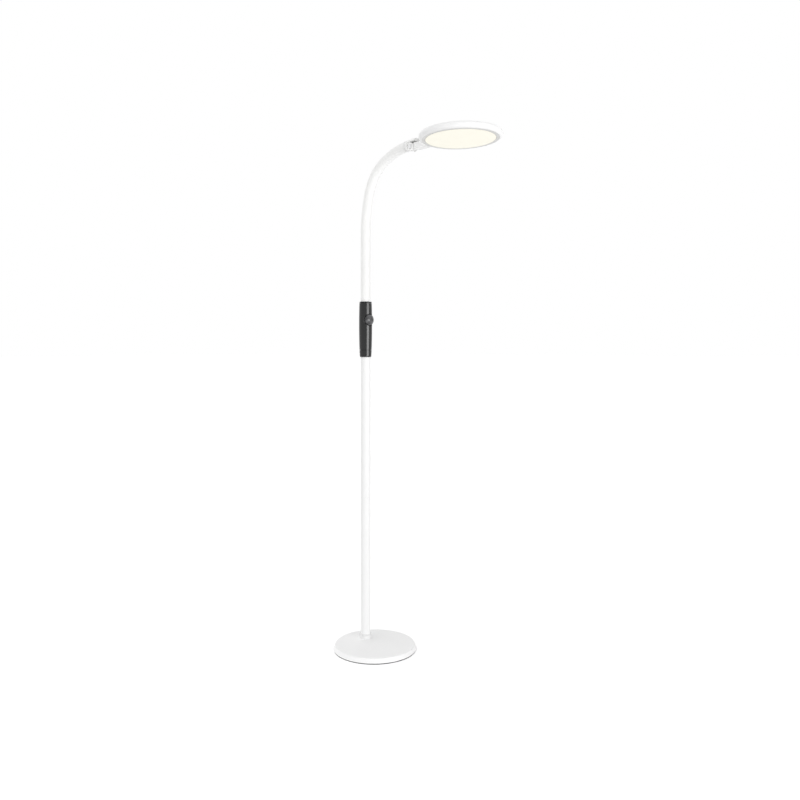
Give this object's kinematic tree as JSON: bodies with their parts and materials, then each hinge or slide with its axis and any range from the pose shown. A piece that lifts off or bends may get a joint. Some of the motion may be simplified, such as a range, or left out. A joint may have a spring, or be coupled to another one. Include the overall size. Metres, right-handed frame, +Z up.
{
  "type": "gooseneck reading floor lamp",
  "caption": "Floor lamp with a round weighted base, a straight pole, an in-line dimmer, a bendable gooseneck and a flat round light panel on a tilting knuckle.",
  "frame": {"origin": "on the floor, under the axis of the pole", "axes": "+Z up along the pole, +X the way the neck bends over and the dimmer knob faces, +Y to the lamp's left"},
  "size_m": [0.59, 0.2718, 1.6097],
  "materials": {
    "pole_enamel": "white powder coat, smooth, semi-gloss",
    "base_enamel": "white powder coat on pressed steel",
    "head_shell": "white moulded ABS, satin",
    "neck_silicone": "smooth white silicone sleeve",
    "black_abs": "charcoal black moulded ABS, semi-gloss",
    "knob_abs": "dark grey moulded ABS",
    "white_nylon": "near-white moulded nylon, matte",
    "opal_acrylic": "opal acrylic, lit warm white",
    "clear_acrylic": "clear acrylic with a printed dot pattern",
    "white_film": "matte white polyester film",
    "gasket_rubber": "light grey moulded rubber",
    "plate_aluminium": "bare sheet",
    "zinc_steel": "zinc plated",
    "core_steel": "close-wound steel strip",
    "weight_iron": "as cast",
    "pad_foam": "black foam rubber",
    "board_laminate": "green solder mask",
    "encoder_body": "black nylon with a steel bushing",
    "strip_white": "white flexible strip with yellow emitters",
    "lead_pvc": "white PVC",
    "contact_brass": "bare"
  },
  "bodies": {
    "stand": {"base_pad": "pad_foam", "base_cover": "base_enamel", "base_weight": "weight_iron", "nipple_nut": "zinc_steel", "nipple_washer": "zinc_steel", "pole_nipple": "zinc_steel", "power_inlet": "black_abs", "inlet_pin": "contact_brass", "pole_lead": "lead_pvc", "base_collar": "pole_enamel", "foot_insert": "zinc_steel", "lower_pole": "pole_enamel", "coupler_socket": "zinc_steel", "coupler_stud": "zinc_steel", "upper_pole": "pole_enamel", "top_insert": "zinc_steel", "control_nipple": "zinc_steel", "control_nut": "zinc_steel", "control_cap": "black_abs", "control_housing": "black_abs", "control_board": "board_laminate", "board_screws": "zinc_steel", "dimmer_encoder": "encoder_body"},
    "dimmer": {"dimmer_knob": "knob_abs", "dimmer_shaft": "zinc_steel"},
    "neck_root": {"neck_ferrule": "black_abs", "swivel_clip": "zinc_steel", "neck_core_1": "core_steel", "neck_sleeve_1": "neck_silicone"},
    "neck_link_1": {"neck_core_2": "core_steel", "neck_sleeve_2": "neck_silicone"},
    "neck_link_2": {"neck_core_3": "core_steel", "neck_sleeve_3": "neck_silicone"},
    "neck_link_3": {"neck_core_4": "core_steel", "neck_sleeve_4": "neck_silicone"},
    "neck_link_4": {"neck_core_5": "core_steel", "neck_sleeve_5": "neck_silicone"},
    "neck_link_5": {"neck_core_6": "core_steel", "neck_sleeve_6": "neck_silicone"},
    "neck_link_6": {"neck_core_7": "core_steel", "neck_sleeve_7": "neck_silicone"},
    "neck_link_7": {"neck_core_8": "core_steel", "neck_sleeve_8": "neck_silicone", "neck_fitting": "white_nylon", "hinge_bolt": "zinc_steel", "hinge_nut": "zinc_steel", "friction_washers": "zinc_steel"},
    "head": {"head_bracket": "white_nylon", "head_cover": "head_shell", "head_bezel": "head_shell", "panel_gasket": "gasket_rubber", "diffuser": "opal_acrylic", "light_guide": "clear_acrylic", "reflector_sheet": "white_film", "led_ring": "strip_white", "back_plate": "plate_aluminium", "plate_screws": "zinc_steel", "tang_screws": "zinc_steel"}
  },
  "joints": [
    {"name": "dimmer_turn", "type": "hinge", "parent": "stand", "child": "dimmer", "pos_m": [0, 0, 1.053], "axis": [1, 0, 0], "range_deg": [-150, 150]},
    {"name": "neck_turn", "type": "hinge", "parent": "stand", "child": "neck_root", "pos_m": [0, 0, 1.108], "axis": [0, 0, 1], "range_deg": [-165, 165]},
    {"name": "neck_bend_1", "type": "hinge", "parent": "neck_root", "child": "neck_link_1", "pos_m": [0, 0, 1.18407], "axis": [0, 1, 0], "range_deg": [-10, 10], "deforming": ["neck_sleeve_1", "neck_sleeve_2"]},
    {"name": "neck_bend_2", "type": "hinge", "parent": "neck_link_1", "child": "neck_link_2", "pos_m": [0, 0, 1.25614], "axis": [0, 1, 0], "range_deg": [-10, 10], "deforming": ["neck_sleeve_3"]},
    {"name": "neck_bend_3", "type": "hinge", "parent": "neck_link_2", "child": "neck_link_3", "pos_m": [0, 0, 1.3282], "axis": [0, 1, 0], "range_deg": [-10, 10], "deforming": ["neck_sleeve_4"]},
    {"name": "neck_bend_4", "type": "hinge", "parent": "neck_link_3", "child": "neck_link_4", "pos_m": [0.00467, 0, 1.40006], "axis": [0, 1, 0], "range_deg": [-22.5, 7.5], "deforming": ["neck_sleeve_5"]},
    {"name": "neck_bend_5", "type": "hinge", "parent": "neck_link_4", "child": "neck_link_5", "pos_m": [0.01931, 0, 1.47056], "axis": [0, 1, 0], "range_deg": [-22.5, 7.5], "deforming": ["neck_sleeve_6"]},
    {"name": "neck_bend_6", "type": "hinge", "parent": "neck_link_5", "child": "neck_link_6", "pos_m": [0.05556, 0, 1.53209], "axis": [0, 1, 0], "range_deg": [-22.5, 7.5], "deforming": ["neck_sleeve_7"]},
    {"name": "neck_bend_7", "type": "hinge", "parent": "neck_link_6", "child": "neck_link_7", "pos_m": [0.11511, 0, 1.57181], "axis": [0, 1, 0], "range_deg": [-22.5, 7.5], "deforming": ["neck_sleeve_8"]},
    {"name": "head_tilt", "type": "hinge", "parent": "neck_link_7", "child": "head", "pos_m": [0.20431, 0, 1.58308], "axis": [0, 1, 0], "range_deg": [-12, 90]}
  ],
  "couplings": [
    {"joint": "neck_bend_2", "follows": "neck_bend_1", "ratio": 1},
    {"joint": "neck_bend_3", "follows": "neck_bend_1", "ratio": 1},
    {"joint": "neck_bend_5", "follows": "neck_bend_4", "ratio": 1},
    {"joint": "neck_bend_6", "follows": "neck_bend_4", "ratio": 1},
    {"joint": "neck_bend_7", "follows": "neck_bend_4", "ratio": 1}
  ]
}
